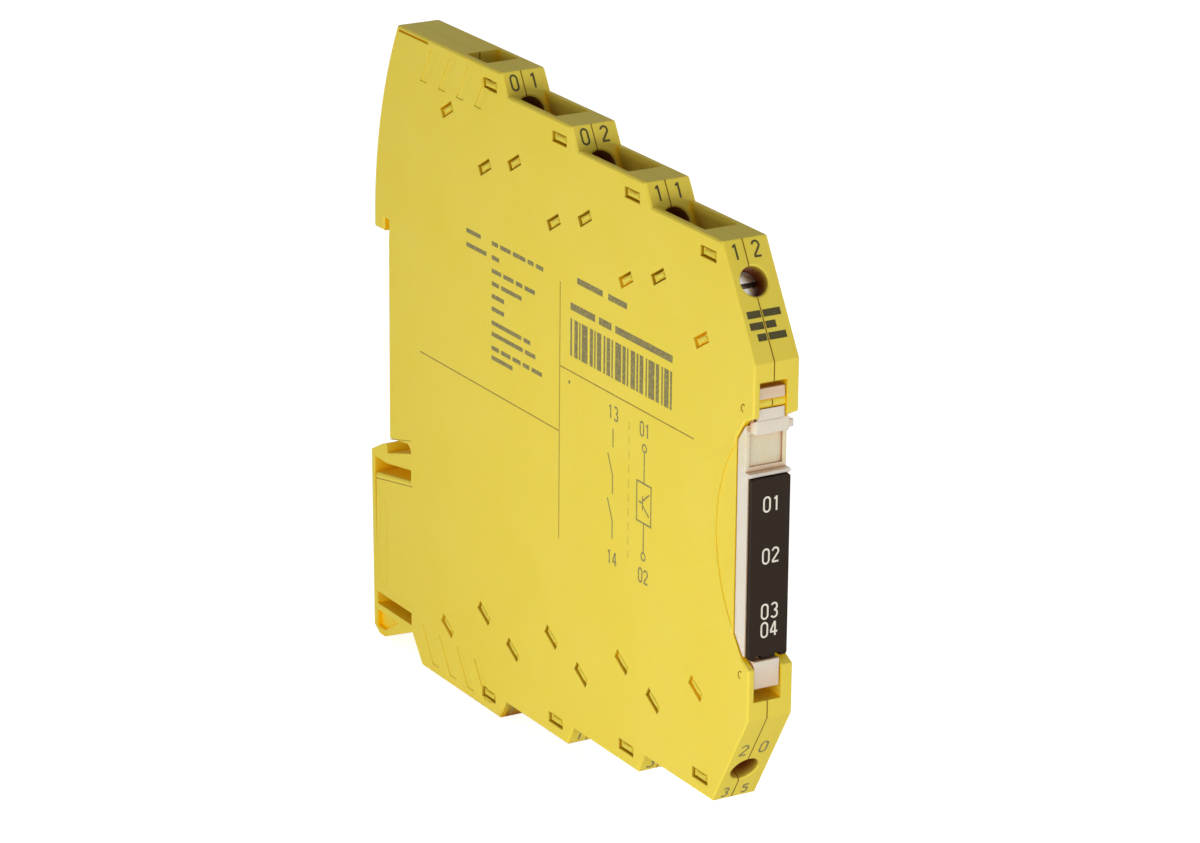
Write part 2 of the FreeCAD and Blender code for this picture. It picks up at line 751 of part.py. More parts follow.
def make_clamp(label):
    """Rising cage: a folded loop whose upper plate takes the screw."""
    body = new_body(label)
    half = S.clamp_width / 2
    inner = half - S.clamp_wall
    sketch = new_sketch(body, "Loop", "XZ_Plane")
    box_outline(sketch, (-half, -CLAMP_FOOT), (half, -CLAMP_TOP))
    box_outline(sketch, (-inner, -BASE_TOP), (inner, -S.screw_tip))
    loop = pad(body, sketch, S.clamp_length, midplane=True)
    folds = edges_where(loop.Shape, lambda e: e.BoundBox.YLength > 1
                        and abs(abs(e.CenterOfMass.x) - half.value) < 1e-3)
    dress(body, "Chamfer", folds, S.clamp_fold)
    hole = new_sketch(body, "ThreadHole", "XY_Plane", -CLAMP_TOP)
    ring(hole, (ZERO, ZERO), S.thread_radius + S.thread_play)
    pocket(body, hole, S.clamp_plate)
    return body


def make_bar(label, half):
    """Contact bar: under the screw, then stepped down and along to the board's face."""
    body = new_body(label)
    toward = -HALVES[half]
    rise = S.bar_bend
    back = S.clamp_length / 2
    sketch = new_sketch(body, "Profile")
    outline(sketch, [(y * toward, -z) for y, z in (
        (-back, BAR_TOP), (RISER + rise, BAR_TOP), (RISER + rise, S.bar_tail_at + rise),
        (RISER, S.bar_tail_at + rise), (RISER, BAR_FOOT), (-back, BAR_FOOT))])
    pad(body, sketch, S.bar_width, midplane=True)
    tail = new_sketch(body, "Tail", offset=BOARD_FACE + S.hole_side)
    outline(tail, [(y * toward, -z) for y, z in (
        (RISER + rise / 2, S.bar_tail_at), (S.bar_tail_end, S.bar_tail_at),
        (S.bar_tail_end, S.bar_tail_at + rise), (RISER + rise / 2, S.bar_tail_at + rise))])
    pad(body, tail, S.bar_width / 2 - BOARD_FACE - S.hole_side)
    return body


# ---- inside --------------------------------------------------------------------------

def make_board():
    """Circuit board against the left skin, following the chamber with a gap all round."""
    body = new_body("circuit_board")
    play = S.board_play
    corner = -S.chamber_front + play
    wall = S.bay_depth + S.front_wall - S.front_reach + play
    low_back = -S.chamber_latch_wall - play
    back = -S.chamber_back - play
    foot = -S.chamber_foot + play
    sketch = new_sketch(body, "BoardOutline", offset=BOARD_LEFT)
    outline(sketch, [
        (back, roof(-S.chamber_bay) - play), (-S.chamber_bay, roof(-S.chamber_bay) - play),
        (corner, roof(corner) - play), (corner, S.chamber_shoulder - play),
        (wall, S.chamber_nose - play), (wall, -S.chamber_nose + play),
        (corner, -S.chamber_shoulder + play), (corner, play - roof(corner)),
        (low_back, play - roof(low_back)), (low_back, foot), (back, foot),
    ])
    pad(body, sketch, S.board_thickness)
    return body


def make_relay(label, side):
    """Sealed relay on the board's component face."""
    body = new_body(label)
    near = S.relay_gap / 2 * side
    far = near + S.relay_height * side
    sketch = new_sketch(body, "Case", offset=BOARD_FACE)
    box_outline(sketch, (-S.relay_front, near), (S.relay_length - S.relay_front, far))
    case = pad(body, sketch, S.relay_thickness)
    face = (BOARD_FACE + S.relay_thickness).value
    dress(body, "Fillet", edges_where(case.Shape, lambda e: e.BoundBox.XMin > face - 1e-3), S.relay_round)
    return body


def make_lamps():
    """Indicator lamps on the board's face, reaching through the front wall."""
    lamps = []
    for name in LAMPS:
        lamp = doc.addObject("Part::Cylinder", name)
        lamp.Radius = SIZES["lamp_radius"]
        bind(lamp, "Radius", S.lamp_radius)
        lamp.Height = SIZES["lamp_length"]
        bind(lamp, "Height", S.lamp_length)
        x = BOARD_FACE + S.lamp_radius
        y = S.bay_depth - S.front_reach + S.front_wall + S.lamp_play
        spot = FreeCAD.Vector(x.value, y.value, SIZES[name])
        lamp.Placement = FreeCAD.Placement(spot, FreeCAD.Rotation(FreeCAD.Vector(1, 0, 0), 90))
        bind(lamp, ".Placement.Base.x", x)
        bind(lamp, ".Placement.Base.y", y)
        bind(lamp, ".Placement.Base.z", getattr(S, name))
        lamps.append(lamp)
    group = doc.addObject("Part::Compound", "leds")
    group.Label = "leds"
    group.Links = lamps
    return group


# ---- front cover ---------------------------------------------------------------------

def make_cover():
    """Tray-shaped cover: header, window, plate seat, a clip on the hinge pin and a tongue."""
    body = new_body("front_cover")
    front = -S.front_reach
    gap = S.cover_gap
    window = front + S.cover_front
    seat = front + S.plate_depth + S.plate_thickness
    rear = front + S.bay_depth - gap
    sill = S.window_foot
    base = new_sketch(body, "CoverProfile")
    knee_y = front + S.bay_knee_depth - gap
    knee_z = S.bay_knee - gap * 2
    top = S.bay_mouth - S.header_drop
    side_end = S.bay_half - gap
    outline(base, [
        (front + S.cover_header, top), (knee_y, knee_z), (rear, side_end), (rear, -side_end),
        (knee_y, -knee_z), (seat, -knee_z), (seat, S.plate_top + gap), (seat - S.lip_height, S.plate_top + gap),
        (seat - S.lip_height, sill), (window, sill), (window, S.header_foot),
        (front + S.cover_header, S.header_foot),
    ])
    pad(body, base, S.cover_width, midplane=True)
    wall = S.cover_wall
    inner_top = S.bay_half - wall
    hollow = new_sketch(body, "CoverHollow")
    outline(hollow, [(rear + wall, inner_top), (window + wall, inner_top), (window + wall, sill),
                     (seat + wall, sill - wall), (seat + wall, -inner_top), (rear + wall, -inner_top)])
    pocket(body, hollow, S.cover_width - S.window_frame * 2, midplane=True)
    pane = new_sketch(body, "WindowRecess", "XZ_Plane", -window)
    half = S.cover_width / 2 - S.window_frame
    box_outline(pane, (-half, sill + S.window_frame), (half, S.header_foot - S.window_frame / 2))
    pocket(body, pane, S.window_recess)
    header = (S.cover_width - S.header_width) / 2
    for name, edge in (("HeaderLeft", -S.cover_width / 2), ("HeaderRight", S.header_width / 2)):
        cut = new_sketch(body, name, "XZ_Plane", -window)
        box_outline(cut, (edge, S.header_foot), (edge + header, S.bay_mouth))
        pocket(body, cut, S.cover_front, reverse=True)

    left = S.clip_play - S.notch_left
    width = S.notch_left + S.notch_right - S.clip_play * 2
    neck = new_sketch(body, "ClipAndTongue", offset=left)
    back_wall = seat + S.clip_depth
    outline(neck, [(seat, S.header_foot), (back_wall, S.header_foot), (back_wall, S.pin_height),
                   (seat, S.pin_height)])
    tongue = front + S.tongue_depth
    below = -S.plate_foot - gap
    reach = S.tongue_thickness
    outline(neck, [(seat, -inner_top), (seat, below), (tongue, below), (tongue, -S.tongue_foot),
                   (tongue + reach, -S.tongue_foot), (tongue + reach, below - reach),
                   (back_wall, below), (back_wall, -inner_top)])
    pad(body, neck, width)
    clip = new_sketch(body, "Clip", offset=left)
    ring(clip, PIN, S.clip_radius)
    pad(body, clip, width)
    opening = new_sketch(body, "ClipOpening", offset=left)
    mouth = S.pin_radius - S.pin_play
    box_outline(opening, (front - S.clip_radius, S.pin_height - mouth), (PIN[0], S.pin_height + mouth))
    pocket(body, opening, width, reverse=True)
    bore = new_sketch(body, "ClipBore", offset=left)
    ring(bore, PIN, S.pin_radius + S.pin_play)
    pocket(body, bore, width, reverse=True)
    trim = new_sketch(body, "ClipTrim", offset=left)
    box_outline(trim, (front - S.clip_radius, S.header_foot), (front + S.tongue_depth, S.notch_top))
    pocket(body, trim, width, reverse=True)
    lug = new_sketch(body, "Lug", offset=S.header_width / 2 - wall)
    lug_y = front + S.cover_front - S.lug_reach
    lug_z = S.header_foot + gap
    box_outline(lug, (lug_y - S.lug_reach, lug_z), (lug_y, lug_z + S.lug_reach * 2))
    pad(body, lug, HALF_WIDTH - S.header_width / 2 + wall)
    return body


def make_plate():
    """Label plate on the cover, with two small notches in its foot."""
    body = new_body("label_plate")
    face = S.front_reach - S.plate_depth
    half = S.plate_width / 2
    sketch = new_sketch(body, "Plate", "XZ_Plane", face - S.plate_thickness)
    box_outline(sketch, (-half, -S.plate_foot), (half, S.plate_top))
    plate = pad(body, sketch, S.plate_thickness)
    dress(body, "Fillet", edges_where(plate.Shape, lambda e: e.BoundBox.YLength > 0.5), S.plate_corner)
    notch = new_sketch(body, "PlateNotches", "XZ_Plane", face)
    corner = S.plate_corner
    for middle in (-half / 2, half / 2):
        box_outline(notch, (middle - corner, -S.plate_foot - corner), (middle + corner, corner - S.plate_foot))
    pocket(body, notch, S.plate_thickness)
    return body


# ---- foot latch ----------------------------------------------------------------------

def make_latch():
    """Foot latch: hook arm, thin back strip, lower arm with its finger, and the guide."""
    body = new_body("foot_latch")
    root = ROOT + S.latch_play
    back = S.latch_back
    arm_back = ARM_TOP - S.latch_arm_rise
    arm_foot = ARM_TOP - S.latch_arm_back
    under = GUIDE_FOOT
    taper = S.latch_taper
    inner = back - S.latch_strip
    crest = S.latch_hook_rise - S.rail_height / 2
    profile = new_sketch(body, "LatchProfile")
    outline(profile, [
        (root, ARM_TOP), (S.flange_slot - S.latch_play * 2, arm_back),
        (S.flange_slot + S.latch_play * 2, crest), (S.latch_crest, crest - S.latch_crest_fall),
        (back, arm_back - S.latch_shoulder), (back - taper, -S.latch_foot + S.finger_wall),
        (back - S.finger_back, -S.latch_foot), (S.finger_front, -S.latch_foot),
        (root, under - S.finger_lip), (root, -S.arm_foot),
        (inner - taper, -S.arm_foot), (inner, arm_foot), (S.flange_slot, arm_foot),
        (root, ARM_TOP - S.latch_arm_depth),
    ])
    pad(body, profile, S.latch_width, midplane=True)
    guide = new_sketch(body, "Guide")
    box_outline(guide, (ROOT - S.guide_length, under), (root, ARM_TOP))
    pad(body, guide, S.guide_width, midplane=True)
    lip = under - S.finger_lip
    foot = S.finger_wall - S.latch_foot
    for name, side in (("FingerLeft", -1), ("FingerRight", 1)):
        recess = new_sketch(body, name, offset=S.latch_width / 2 * side)
        outline(recess, [(inner - taper, lip), (inner - taper, foot),
                         (S.finger_front, foot), (-S.finger_front, lip)])
        pocket(body, recess, S.finger_recess, reverse=side < 0)
    return body


make_shell(-1)
make_shell(1)
for half in HALVES:
    for level in range(LEVELS):
        place = f"{half}_{level + 1}"
        for piece in (make_screw(f"screw_{place}"), make_clamp(f"clamp_{place}"), make_bar(f"bar_{place}", half)):
            seat_on_face(piece, level, half)
make_board()
make_relay("relay_1", 1)
make_relay("relay_2", -1)
make_lamps()
make_cover()
make_plate()
make_latch()

doc.recompute()
for item in doc.Objects:
    if {"Invalid", "Error"} & set(item.State):
        raise RuntimeError(f"{item.Name} failed: {item.State}")
parts = [item for item in doc.Objects if item.TypeId in ("PartDesign::Body", "Part::Compound")]
for part in parts:
    shape = part.Shape
    if shape.isNull() or not shape.isValid():
        raise RuntimeError(f"{part.Label} has no valid shape")
    print(part.Label, len(shape.Solids), round(shape.Volume, 2), shape.BoundBox)
os.makedirs("parts", exist_ok=True)
for part in parts:
    part.Shape.exportStep(f"parts/{part.Label}.step")
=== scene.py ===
"""Looks of the slim safety relay: finishes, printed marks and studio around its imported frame."""
import json
import math

import bpy
import numpy as np
from mathutils import Matrix, Vector


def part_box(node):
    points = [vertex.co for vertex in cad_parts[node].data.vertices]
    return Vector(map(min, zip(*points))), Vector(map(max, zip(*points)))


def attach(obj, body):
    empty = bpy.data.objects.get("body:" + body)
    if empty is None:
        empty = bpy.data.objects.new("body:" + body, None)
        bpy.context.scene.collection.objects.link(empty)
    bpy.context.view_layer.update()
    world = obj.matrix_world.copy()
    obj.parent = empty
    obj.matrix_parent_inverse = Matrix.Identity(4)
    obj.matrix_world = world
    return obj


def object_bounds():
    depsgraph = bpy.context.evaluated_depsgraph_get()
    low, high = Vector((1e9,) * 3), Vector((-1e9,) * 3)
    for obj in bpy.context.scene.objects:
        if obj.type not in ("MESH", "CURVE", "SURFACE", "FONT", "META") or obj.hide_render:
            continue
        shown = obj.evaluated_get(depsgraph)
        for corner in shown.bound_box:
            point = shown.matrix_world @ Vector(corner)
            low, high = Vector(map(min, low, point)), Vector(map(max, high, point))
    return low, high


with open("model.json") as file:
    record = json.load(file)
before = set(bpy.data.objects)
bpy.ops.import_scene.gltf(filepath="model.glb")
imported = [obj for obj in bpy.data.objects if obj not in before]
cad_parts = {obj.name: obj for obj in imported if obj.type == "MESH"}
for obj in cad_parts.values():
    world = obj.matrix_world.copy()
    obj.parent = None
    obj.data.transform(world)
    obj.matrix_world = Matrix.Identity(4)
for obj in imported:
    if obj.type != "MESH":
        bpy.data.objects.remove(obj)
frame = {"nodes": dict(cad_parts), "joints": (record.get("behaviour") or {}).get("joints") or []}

MM = 0.001
CAD_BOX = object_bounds()
NODES = frame["nodes"]
JOINTS = {joint["name"]: joint for joint in frame["joints"]}
HALVES = {"top": 1, "bottom": -1}       # the sign of each half's heights
LEVELS = 4                              # terminals in each half, the foremost one last

# Places on the part, in millimetres.
CASE_LOW = np.array(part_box("left_shell")[0]) / MM
PLATE_LOW, PLATE_HIGH = (np.array(corner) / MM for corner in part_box("label_plate"))
SIDE_X = CASE_LOW[0]
SEAM_X = SIDE_X + 3.0
PANE_FOOT = PLATE_HIGH[2] + 1.0         # the cover's clear pane, above the label plate
PANE_TOP = PANE_FOOT + 4.9


# ---- shader maths --------------------------------------------------------------------

class Wire:
    """A shader socket that Python's operators work on; each operator adds a Math node."""

    def __init__(self, board, socket):
        self.board = board
        self.socket = socket

    def _maths(self, operation, *values):
        return self.board.node("ShaderNodeMath", {"operation": operation}, values)

    def __add__(self, other):
        return self._maths("ADD", self, other)

    def __sub__(self, other):
        return self._maths("SUBTRACT", self, other)

    def __mul__(self, other):
        return self._maths("MULTIPLY", self, other)

    def __rsub__(self, other):
        return self._maths("SUBTRACT", other, self)

    def __abs__(self):
        return self._maths("ABSOLUTE", self)

    __radd__ = __add__
    __rmul__ = __mul__

    def most(self, other):
        """The larger of the two."""
        return self._maths("MAXIMUM", self, other)

    def band(self, low, high):
        """0 below low, 1 above high, smooth between."""
        limits = {"Value": self, "From Min": low, "From Max": high}
        return self.board.node("ShaderNodeMapRange", {"interpolation_type": "SMOOTHSTEP"}, limits)


class Board:
    """A node tree and the few ways its nodes are made."""

    def __init__(self, tree):
        self.tree = tree

    def node(self, kind, settings=None, values=(), out=0):
        """Add a node: its settings first, then a value or a link for each socket named."""
        made = self.tree.nodes.new(kind)
        for key, value in (settings or {}).items():
            setattr(made, key, value)
        pairs = values.items() if isinstance(values, dict) else enumerate(values)
        for key, value in pairs:
            self.link(made.inputs[key], value)
        return Wire(self, made.outputs[out])

    def link(self, target, value):
        if isinstance(value, Wire):
            self.tree.links.new(value.socket, target)
        elif value is not None:
            target.default_value = value

    def ray(self, kind):
        return self.node("ShaderNodeLightPath", out=f"Is {kind} Ray")

    def backdrop_rays(self):
        """1 on rays from the camera, in reflections and through clear plastic, 0 on others."""
        return self.ray("Camera").most(self.ray("Glossy")).most(self.ray("Transmission"))


class Finish(Board):
    """A material on the Principled shader; constants are set on the shader's own sockets."""

    def __init__(self, name, **constants):
        self.material = bpy.data.materials.new(name)
        self.material.use_nodes = True
        super().__init__(self.material.node_tree)
        self.shader = self.tree.nodes["Principled BSDF"]
        for socket, value in constants.items():
            self.shader.inputs[socket.replace("_", " ")].default_value = value

    def feed(self, **wires):
        """Link what changes over the surface, and return the material."""
        for socket, value in wires.items():
            self.link(self.shader.inputs[socket.replace("_", " ")], value)
        return self.material

    def place(self):
        """Where on the part a point is, in metres."""
        return self.node("ShaderNodeTexCoord", out="Object")

    def axes(self):
        """The place's x, y and z."""
        split = self.node("ShaderNodeSeparateXYZ", values=[self.place()])
        outputs = split.socket.node.outputs
        return [Wire(self, outputs[k]) for k in range(3)]

    def noise(self, scale, detail=2.0, roughness=0.5, stretch=None):
        """Clouds of about 1 / scale metres; a stretch multiplies the place before them."""
        place = self.place()
        if stretch:
            place = self.node("ShaderNodeVectorMath", {"operation": "MULTIPLY"}, [place, stretch])
        values = {"Vector": place, "Scale": scale, "Detail": detail, "Roughness": roughness}
        return self.node("ShaderNodeTexNoise", values=values)

    def mix(self, factor, low, high):
        """The low colour at factor 0, the high one at 1."""
        values = {0: factor, 6: low, 7: high}
        return self.node("ShaderNodeMix", {"data_type": "RGBA"}, values, out=2)

    def bump(self, height, distance, normal=None):
        values = {"Height": height, "Distance": distance, "Normal": normal}
        return self.node("ShaderNodeBump", values=values)

    def openness(self, reach):
        """1 on open faces, 0 deep in a nook that is narrower than about the reach."""
        values = {"Distance": reach}
        return self.node("ShaderNodeAmbientOcclusion", {"samples": 8}, values, out="AO")


def tint(red, green, blue):
    """An sRGB colour of 0 to 255 as the linear colour that sockets take."""
    def linear(level):
        share = level / 255
        return share / 12.92 if share <= 0.04045 else ((share + 0.055) / 1.055) ** 2.4
    return (linear(red), linear(green), linear(blue), 1.0)


def darker(colour, share):
    """A linear colour times a share of its light."""
    return (*(level * share for level in colour[:3]), 1.0)


# ---- finishes ------------------------------------------------------------------------
# Lengths here are in metres, and a noise's scale is in clouds to the metre.

FLOW_SCALE = 90.0               # mottling left by the plastic's flow
GRAIN_SCALE = 5200.0            # eroded grain of the mould
ERODED = 0.6                    # roughness of the finer noises
HOLLOW_REACH = 2.4              # how much further than a nook a hollow reaches
EDGE_ROUND = 0.00012            # edges look rounded by this radius
SEAM_LINE = (0.00003, 0.00012)  # off the seam: dark line, and where it has faded out
SIDE_SKIN = (0.00316, 0.00324)  # off the middle: shallow lines on the sides lie beyond
CHAMBER = (0.0024, 0.0026)      # off the middle: the inner faces of the side walls
TERMINALS = (0.0255, 0.0275)    # off the rail's centre line: terminals lie beyond
DUCT_REAR = (-0.026, -0.020)    # the painted brown shade of the rearmost ducts fades to half between these depths
PANE_EDGE = 0.0004              # the pane's painted yellow fades in over this height
UPPER_END = (0.0182, 0.0200)    # the cover's ends, where the housing's yellow light is painted on
LOWER_END = (-0.0215, -0.0150)


def moulded(name, hues, roughness, reach=0.0025, grain=6e-6, detail=None, **constants):
    """Moulded plastic: a slow flow mottle mixes two near hues, fine grain lifts the surface,
    edges are softened, nooks and hollows take the two deeper hues as painted shade, and with
    an emission strength the nooks also get a faint painted glow."""
    finish = Finish(name, **constants)
    colour, shade, depth, deep = hues
    cloud = finish.noise(FLOW_SCALE, 3.0).band(0.3, 0.7)
    grain_height = finish.noise(GRAIN_SCALE, 3.0, ERODED)
    base = finish.mix(cloud * 0.35, colour, shade)
    # Painted shade: occlusion finds nooks and wider hollows, which take the deeper hues.
    nook = 1 - finish.openness(reach).band(0.4, 0.92)
    hollow = 1 - finish.openness(reach * HOLLOW_REACH).band(0.2, 0.6)
    if detail:
        base, nook, hollow = detail(finish, base, nook, hollow)
    base = finish.mix(hollow, finish.mix(nook, base, depth), deep)
    # Painted glow: with an emission strength, the nooks give off their deeper hue.
    if "Emission_Strength" in constants:
        finish.feed(Emission_Color=finish.mix(nook * (1 - hollow), (0, 0, 0, 1), depth))
    rounded = finish.node("ShaderNodeBevel", {"samples": 4}, {"Radius": EDGE_ROUND})
    rough = cloud * 0.06 + grain_height * 0.1 + (roughness - 0.08)
    lifted = finish.bump(grain_height, grain, rounded)
    return finish.feed(Base_Color=base, Roughness=rough, Normal=lifted)


def turned_metal(name, colour, roughness, lines=2500.0):
    """Plated or bare metal: fine drawn lines, faint clouding, and painted shade, near-black metal
    where little light gets in."""
    finish = Finish(name, Metallic=1.0)
    streaks = finish.noise(1.0, 2.0, stretch=(lines, lines, lines * 0.08))
    cloud = finish.noise(700.0, 3.0).band(0.35, 0.75)
    base = finish.mix(cloud * 0.4, colour, darker(colour, 0.7))
    # Painted shade: the colour falls to a tenth where occlusion finds little light gets in.
    shut_shade = 1 - finish.openness(0.002).band(0.05, 0.6)
    base = finish.mix(shut_shade, base, darker(colour, 0.1))
    rough = streaks * 0.12 + cloud * 0.1 + roughness
    return finish.feed(Base_Color=base, Roughness=rough, Normal=finish.bump(streaks, 4e-6))


def clear_lamp(name, colour):
    """Glossy lamp lens with soft clouds of a darker hue."""
    finish = Finish(name, Roughness=0.12, IOR=1.5, Coat_Weight=0.3)
    glow = finish.noise(1500.0, 2.0).band(0.3, 0.8)
    return finish.feed(Base_Color=finish.mix(glow, colour, darker(colour, 0.8)))


def laminate(name):
    """Green circuit board with a faint glass weave."""
    finish = Finish(name, Roughness=0.35)
    values = {"Vector": finish.place(), "Scale": 2200.0}
    weave = finish.node("ShaderNodeTexChecker", values=values, out="Fac")
    colour = finish.mix(weave * 0.3, tint(28, 92, 48), tint(20, 74, 40))
    return finish.feed(Base_Color=colour, Normal=finish.bump(weave, 4e-6))


def ink(name, colour, ground, wear=0.3):
    """Printed ink, patchy where the plastic's grain shows through; the same finish also serves for
    dark lines of painted shade.
    """
    finish = Finish(name, Specular_IOR_Level=0.2)
    patchy = finish.noise(2600.0, 3.0, ERODED).band(0.42, 0.7)
    rough = patchy * 0.15 + 0.42
    return finish.feed(Base_Color=finish.mix(patchy * wear, colour, ground), Roughness=rough)


def housing_detail(finish, base, nook, hollow):
    """The seam is dark on faces towards the front and faint on the others, shallow lines on the
    sides get almost none of the painted nook shade, and only the terminals get the painted
    brown shade of hollows."""
    x, y, z = finish.axes()
    normal = finish.node("ShaderNodeTexCoord", out="Normal")
    front = finish.node("ShaderNodeSeparateXYZ", values=[normal], out="Y") * -1.0
    gap = 1 - abs(x - SEAM_X * MM).band(*SEAM_LINE)
    base = finish.mix(gap * (front.band(0.2, 0.6) * 0.88 + 0.12), base, BROWN_SEAM_AND_SHADE)
    # Painted shade is kept off the shallow side lines; in hollows it stays round the terminals,
    # halved on the side walls' inner faces and towards the rearmost ducts.
    skin = abs(x).band(*SIDE_SKIN)
    inner = 1 - abs(x).band(*CHAMBER) * 0.5
    terminals = abs(z).band(*TERMINALS) * inner * (1 - y.band(*DUCT_REAR) * 0.5)
    return base, nook * (1 - skin * 0.95), hollow * terminals


def cover_detail(finish, base, nook, hollow):
    """Painted light through the clear cover: the pane gets the yellow behind it painted on in
    upright streaks, and both ends of the cover get the housing's yellow light painted on as a
    warm hue."""
    z = finish.axes()[2]
    low, high = PANE_FOOT * MM, PANE_TOP * MM
    # Painted light: the yellow seen through the clear pane, as a colour.
    pane = z.band(low, low + PANE_EDGE) * (1 - z.band(high - PANE_EDGE, high))
    streak = finish.noise(420.0, 3.0, ERODED, stretch=(1.0, 1.0, 0.2)).band(0.3, 0.75)
    base = finish.mix(pane * (streak * 0.45 + 0.3), base, tint(232, 216, 160))
    # Painted light: the housing's yellow glow on both ends of the cover, as a colour.
    ends = z.band(*UPPER_END) * 0.6 + (1 - z.band(*LOWER_END)) * 0.6
    return finish.mix(ends, base, tint(222, 180, 130)), nook, hollow


# Hues of each plastic: its face, its mottling, and its painted shade in nooks and in hollows.
# The amber is painted shade in nooks and in the latch's hollows, and the painted glow; the brown
# is painted shade in hollows and also the seam's dark line.
AMBER_SHADE_AND_GLOW, BROWN_SEAM_AND_SHADE = tint(252, 204, 8), tint(118, 46, 4)
YELLOWS = (tint(242, 219, 88), tint(238, 213, 68), AMBER_SHADE_AND_GLOW, BROWN_SEAM_AND_SHADE)
MILKS = (tint(236, 225, 208), tint(226, 213, 194), tint(220, 184, 140), tint(170, 120, 76))
DARKS = (tint(44, 33, 24), tint(38, 28, 20), tint(22, 15, 10), tint(12, 8, 6))
GREYS = (tint(60, 62, 66), tint(50, 52, 56), tint(30, 30, 32), tint(18, 18, 20))

# Light scattered inside the yellow plastic and the milky cover, and a faint painted glow from the
# yellow plastic's nooks.
GLOW = {
    "Subsurface_Weight": 0.2, "Subsurface_Radius": (1.0, 0.55, 0.08), "Subsurface_Scale": 0.0008,
    "Specular_IOR_Level": 0.02, "Coat_Weight": 0.08, "Coat_Roughness": 0.35,
    "Emission_Strength": 0.05,
}
MILK = {
    "Subsurface_Weight": 0.6, "Subsurface_Radius": (1.0, 0.85, 0.7), "Subsurface_Scale": 0.0012,
    "Coat_Weight": 0.2,
}
housing_finish = moulded("housing_yellow", YELLOWS, 0.46, detail=housing_detail, **GLOW)
FINISHES = {
    "left_shell": housing_finish, "right_shell": housing_finish,
    "foot_latch": moulded("latch_yellow", YELLOWS[:3] + (AMBER_SHADE_AND_GLOW,), 0.46, **GLOW),
    "front_cover": moulded("cover_milky", MILKS, 0.3, 0.003, detail=cover_detail, **MILK),
    "label_plate": moulded("plate_dark", DARKS, 0.55, grain=4e-6, Specular_IOR_Level=0.1),
    "circuit_board": laminate("board_green"),
    "leds": clear_lamp("lamp_clear", tint(205, 225, 190)),
}
FAMILIES = {
    "relay": moulded("relay_grey", GREYS, 0.35),
    "screw": turned_metal("screw_plated", tint(226, 222, 216), 0.14),
    "clamp": turned_metal("clamp_zinc", tint(184, 182, 172), 0.3),
    "bar": turned_metal("bar_brass", tint(206, 170, 96), 0.26),
}
for node_name, node in NODES.items():
    finish = FINISHES.get(node_name) or FAMILIES[node_name.split("_")[0]]
    for slot in node.material_slots:
        slot.material = finish

SIDE_INK = ink("ink_olive", tint(122, 112, 74), YELLOWS[0])
RULE_INK = ink("ink_brown", tint(150, 118, 40), YELLOWS[0])
FAINT_INK = ink("ink_faint", tint(200, 178, 70), YELLOWS[0])
MARK_INK = ink("ink_dark", tint(76, 70, 40), YELLOWS[0], 0.03)
PALE_INK = ink("ink_pale", tint(240, 234, 216), tint(150, 140, 128), 0.1)
# Not print: dark amber lines of painted shade, for slits and small dimples.
PAINTED_SHADE_LINE = ink("shade_line_amber", tint(160, 110, 4), YELLOWS[0], 0.2)


# ---- flat marks and beads ------------------------------------------------------------
# Lengths from here to the studio are in millimetres, and angles are in degrees.

INK_FILM = 0.02         # printed film, half sunk in its face
FILM_STEP = 0.0008      # rise of each mark over the last, so that crossing ones differ
FILM_STEPS = 8


class Plane:
    """A face to print on: its origin, the directions of u and v along it, and the way it faces."""

    def __init__(self, origin, u, v):
        self.origin, self.u, self.v = (np.array(a, float) for a in (origin, u, v))
        self.outward = np.cross(self.u, self.v)

    def lay(self, flat):
        """origin + u times the first column + v times the second."""
        return self.origin + flat[:, :1] * self.u + flat[:, 1:2] * self.v


def ribbon(points, width, closed=False):
    """A flat strip: each point of the path moved half the width to its left and to its right."""
    path = np.array(points, float)
    ahead = np.roll(path, -1, 0) - path
    behind = path - np.roll(path, 1, 0)
    if not closed:
        ahead[-1], behind[0] = behind[-1], ahead[0]
    unit = [step / np.linalg.norm(step, axis=1)[:, None] for step in (ahead, behind)]
    across = np.stack([-(unit[0] + unit[1])[:, 1], (unit[0] + unit[1])[:, 0]], 1)
    across /= (np.linalg.norm(across, axis=1) ** 2 / 2)[:, None]
    flat = np.concatenate([path + across * width / 2, path - across * width / 2])
    count = len(path)
    last = count if closed else count - 1
    first = np.arange(last)
    after = (first + 1) % count
    return flat, np.stack([first, first + count, after + count, after], 1).tolist()


def bar(low, high):
    """A rectangle between two opposite corners."""
    (a, b), (c, d) = low, high
    return np.array([(a, b), (c, b), (c, d), (a, d)], float), [[0, 1, 2, 3]]


def around(angle):
    """The cosine and sine of each angle, in radians: points of the unit circle."""
    return np.stack([np.cos(angle), np.sin(angle)], 1)


def circle(centre, radius, count=40):
    """Points at equal turns round a centre."""
    return around(np.arange(count) / count * 2 * math.pi) * radius + centre


def disc(centre, radius):
    """A circle filled as one face."""
    rim = circle(centre, radius)
    return rim, [list(range(len(rim)))]


def bend(centre, reach, start, turn, count=14):
    """Part of an ellipse: the unit circle from start through turn, times the reach."""
    return around(np.radians(start + np.linspace(0, turn, count))) * reach + centre


